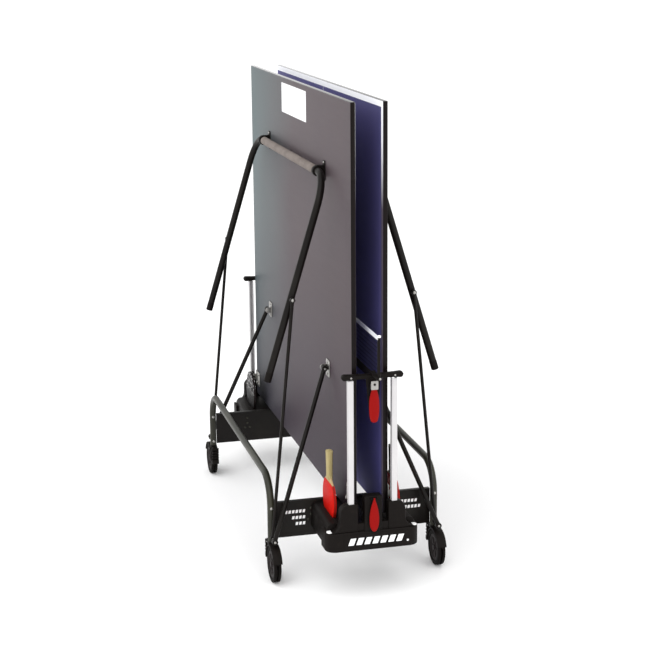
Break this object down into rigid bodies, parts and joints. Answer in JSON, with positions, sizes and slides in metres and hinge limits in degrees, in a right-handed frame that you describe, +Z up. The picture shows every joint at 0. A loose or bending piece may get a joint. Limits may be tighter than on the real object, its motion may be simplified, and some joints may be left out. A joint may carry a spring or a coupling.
{
  "type": "table tennis table",
  "caption": "Folding roller table tennis table in its stored position: twin halves upright on a wheeled steel frame with linked legs, net, release levers and bats.",
  "frame": {"origin": "on the floor, under the middle of the table", "axes": "+Z up, +Y across the width of the playing surface, +X across the two halves towards the right one as stored"},
  "size_m": [0.616, 1.762, 1.645],
  "materials": {
    "board_laminate": "coated particle board, matt blue playing face with white lines, grey-mauve underside, dark edge",
    "frame_steel": "black powder coat on steel tube and sheet",
    "post_aluminium": "anodised aluminium section, satin",
    "bracket_zinc": "zinc-plated pressed steel",
    "black_plastic": "fine-grained black moulding",
    "lever_red": "red moulding, soft gloss",
    "wheel_tread": "dark rubber tread on a moulded hub",
    "net_cord": "dark knotless mesh with a white top tape",
    "bat_red": "red pimpled rubber on a plywood blade, pale wooden handle",
    "cover_black": "shiny black film cover of a bat blade, no handle"
  },
  "bodies": {
    "base": {"u_frame_left": "frame_steel", "u_frame_right": "frame_steel", "end_plate_near": "frame_steel", "end_plate_far": "frame_steel", "end_housing_near": "black_plastic", "end_housing_far": "black_plastic", "guide_post_left_near": "post_aluminium", "guide_post_left_far": "post_aluminium", "guide_post_right_near": "post_aluminium", "guide_post_right_far": "post_aluminium", "top_yoke_near": "black_plastic", "top_yoke_far": "black_plastic", "net": "net_cord"},
    "carriage_left": {"slider_left_near": "black_plastic", "slider_left_far": "black_plastic"},
    "half_left": {"board_left": "board_laminate", "guide_bracket_left_near": "bracket_zinc", "guide_bracket_left_far": "bracket_zinc", "arm_bracket_left_near": "bracket_zinc", "arm_bracket_left_far": "bracket_zinc", "leg_bracket_left_near": "black_plastic", "leg_bracket_left_far": "black_plastic"},
    "leg_left": {"leg_frame_left": "frame_steel"},
    "arms_left": {"arm_left_near": "frame_steel", "arm_left_far": "frame_steel"},
    "struts_left": {"strut_left_near": "frame_steel", "strut_left_far": "frame_steel"},
    "carriage_right": {"slider_right_near": "black_plastic", "slider_right_far": "black_plastic"},
    "half_right": {"board_right": "board_laminate", "guide_bracket_right_near": "bracket_zinc", "guide_bracket_right_far": "bracket_zinc", "arm_bracket_right_near": "bracket_zinc", "arm_bracket_right_far": "bracket_zinc", "leg_bracket_right_near": "black_plastic", "leg_bracket_right_far": "black_plastic"},
    "leg_right": {"leg_frame_right": "frame_steel"},
    "arms_right": {"arm_right_near": "frame_steel", "arm_right_far": "frame_steel"},
    "struts_right": {"strut_right_near": "frame_steel", "strut_right_far": "frame_steel"},
    "caster_left_near": {"caster_fork_left_near": "black_plastic"},
    "wheels_left_near": {"caster_wheel_left_near": "wheel_tread"},
    "pedal_left_near": {"brake_pedal_left_near": "black_plastic"},
    "caster_left_far": {"caster_fork_left_far": "black_plastic"},
    "wheels_left_far": {"caster_wheel_left_far": "wheel_tread"},
    "pedal_left_far": {"brake_pedal_left_far": "black_plastic"},
    "caster_right_near": {"caster_fork_right_near": "black_plastic"},
    "wheels_right_near": {"caster_wheel_right_near": "wheel_tread"},
    "pedal_right_near": {"brake_pedal_right_near": "black_plastic"},
    "caster_right_far": {"caster_fork_right_far": "black_plastic"},
    "wheels_right_far": {"caster_wheel_right_far": "wheel_tread"},
    "pedal_right_far": {"brake_pedal_right_far": "black_plastic"},
    "upper_lever_near": {"upper_lever_near": "lever_red"},
    "lower_lever_near": {"lower_lever_near": "lever_red"},
    "upper_lever_far": {"upper_lever_far": "lever_red"},
    "lower_lever_far": {"lower_lever_far": "lever_red"},
    "bat_left_near": {"bat_left_near": "bat_red"},
    "bat_right_near": {"bat_right_near": "bat_red"},
    "bat_cover_left_far": {"bat_cover_left_far": "cover_black"}
  },
  "joints": [
    {"name": "carriage_left_rise", "type": "slide", "parent": "base", "child": "carriage_left", "axis": [0, 0, 1], "range_m": [0, 0.386]},
    {"name": "half_left_fold", "type": "hinge", "parent": "carriage_left", "child": "half_left", "pos_m": [-0.074, 0, 0.345], "axis": [0, -1, 0], "range_deg": [0, 90]},
    {"name": "leg_left_fold", "type": "hinge", "parent": "half_left", "child": "leg_left", "pos_m": [-0.087, 0, 1.385], "axis": [0, -1, 0], "range_deg": [-73.1, 0]},
    {"name": "arms_left_fold", "type": "hinge", "parent": "half_left", "child": "arms_left", "pos_m": [-0.076, 0, 0.70599], "axis": [0, -1, 0], "range_deg": [-55.02, 0]},
    {"name": "struts_left_fold", "type": "hinge", "parent": "base", "child": "struts_left", "pos_m": [-0.292, 0, 0.148], "axis": [0, -1, 0], "range_deg": [0, 85.58]},
    {"name": "carriage_right_rise", "type": "slide", "parent": "base", "child": "carriage_right", "axis": [0, 0, 1], "range_m": [0, 0.386]},
    {"name": "half_right_fold", "type": "hinge", "parent": "carriage_right", "child": "half_right", "pos_m": [0.074, 0, 0.345], "axis": [0, 1, 0], "range_deg": [0, 90]},
    {"name": "leg_right_fold", "type": "hinge", "parent": "half_right", "child": "leg_right", "pos_m": [0.087, 0, 1.385], "axis": [0, 1, 0], "range_deg": [-73.1, 0]},
    {"name": "arms_right_fold", "type": "hinge", "parent": "half_right", "child": "arms_right", "pos_m": [0.076, 0, 0.70599], "axis": [0, 1, 0], "range_deg": [-55.02, 0]},
    {"name": "struts_right_fold", "type": "hinge", "parent": "base", "child": "struts_right", "pos_m": [0.292, 0, 0.148], "axis": [0, 1, 0], "range_deg": [0, 85.58]},
    {"name": "caster_left_near_swivel", "type": "hinge", "parent": "base", "child": "caster_left_near", "pos_m": [-0.292, -0.55, 0.133], "axis": [0, 0, 1], "continuous": true},
    {"name": "wheels_left_near_spin", "type": "hinge", "parent": "caster_left_near", "child": "wheels_left_near", "pos_m": [-0.292, -0.59, 0.0625], "axis": [1, 0, 0], "continuous": true},
    {"name": "pedal_left_near_release", "type": "hinge", "parent": "caster_left_near", "child": "pedal_left_near", "pos_m": [-0.292, -0.5135, 0.122], "axis": [1, 0, 0], "range_deg": [0, 50]},
    {"name": "caster_left_far_swivel", "type": "hinge", "parent": "base", "child": "caster_left_far", "pos_m": [-0.292, 0.55, 0.133], "axis": [0, 0, 1], "continuous": true},
    {"name": "wheels_left_far_spin", "type": "hinge", "parent": "caster_left_far", "child": "wheels_left_far", "pos_m": [-0.292, 0.59, 0.0625], "axis": [1, 0, 0], "continuous": true},
    {"name": "pedal_left_far_release", "type": "hinge", "parent": "caster_left_far", "child": "pedal_left_far", "pos_m": [-0.292, 0.5135, 0.122], "axis": [-1, 0, 0], "range_deg": [0, 50]},
    {"name": "caster_right_near_swivel", "type": "hinge", "parent": "base", "child": "caster_right_near", "pos_m": [0.292, -0.55, 0.133], "axis": [0, 0, 1], "continuous": true},
    {"name": "wheels_right_near_spin", "type": "hinge", "parent": "caster_right_near", "child": "wheels_right_near", "pos_m": [0.292, -0.59, 0.0625], "axis": [1, 0, 0], "continuous": true},
    {"name": "pedal_right_near_release", "type": "hinge", "parent": "caster_right_near", "child": "pedal_right_near", "pos_m": [0.292, -0.5135, 0.122], "axis": [1, 0, 0], "range_deg": [0, 50]},
    {"name": "caster_right_far_swivel", "type": "hinge", "parent": "base", "child": "caster_right_far", "pos_m": [0.292, 0.55, 0.133], "axis": [0, 0, 1], "continuous": true},
    {"name": "wheels_right_far_spin", "type": "hinge", "parent": "caster_right_far", "child": "wheels_right_far", "pos_m": [0.292, 0.59, 0.0625], "axis": [1, 0, 0], "continuous": true},
    {"name": "pedal_right_far_release", "type": "hinge", "parent": "caster_right_far", "child": "pedal_right_far", "pos_m": [0.292, 0.5135, 0.122], "axis": [-1, 0, 0], "range_deg": [0, 50]},
    {"name": "upper_lever_near_pull", "type": "hinge", "parent": "base", "child": "upper_lever_near", "pos_m": [0, -0.8155, 0.738], "axis": [-1, 0, 0], "range_deg": [0, 35], "stiffness_Nm_per_rad": 0.2},
    {"name": "lower_lever_near_pull", "type": "hinge", "parent": "base", "child": "lower_lever_near", "pos_m": [0, -0.8155, 0.348], "axis": [-1, 0, 0], "range_deg": [0, 35], "stiffness_Nm_per_rad": 0.2},
    {"name": "upper_lever_far_pull", "type": "hinge", "parent": "base", "child": "upper_lever_far", "pos_m": [0, 0.8155, 0.738], "axis": [1, 0, 0], "range_deg": [0, 35], "stiffness_Nm_per_rad": 0.2},
    {"name": "lower_lever_far_pull", "type": "hinge", "parent": "base", "child": "lower_lever_far", "pos_m": [0, 0.8155, 0.348], "axis": [1, 0, 0], "range_deg": [0, 35], "stiffness_Nm_per_rad": 0.2},
    {"name": "bat_left_near_lift", "type": "slide", "parent": "base", "child": "bat_left_near", "axis": [0, 0, 1], "range_m": [0, 0.16]},
    {"name": "bat_right_near_lift", "type": "slide", "parent": "base", "child": "bat_right_near", "axis": [0, 0, 1], "range_m": [0, 0.16]},
    {"name": "bat_cover_left_far_lift", "type": "slide", "parent": "base", "child": "bat_cover_left_far", "axis": [0, 0, 1], "range_m": [0, 0.16]}
  ],
  "couplings": [
    {"joint": "carriage_left_rise", "follows": "half_left_fold", "m_per_rad": 0.24574},
    {"joint": "leg_left_fold", "follows": "half_left_fold", "ratio": -0.8122},
    {"joint": "arms_left_fold", "follows": "half_left_fold", "ratio": -0.61124},
    {"joint": "struts_left_fold", "follows": "half_left_fold", "ratio": 0.95083},
    {"joint": "carriage_right_rise", "follows": "half_right_fold", "m_per_rad": 0.24574},
    {"joint": "leg_right_fold", "follows": "half_right_fold", "ratio": -0.8122},
    {"joint": "arms_right_fold", "follows": "half_right_fold", "ratio": -0.61124},
    {"joint": "struts_right_fold", "follows": "half_right_fold", "ratio": 0.95083}
  ]
}
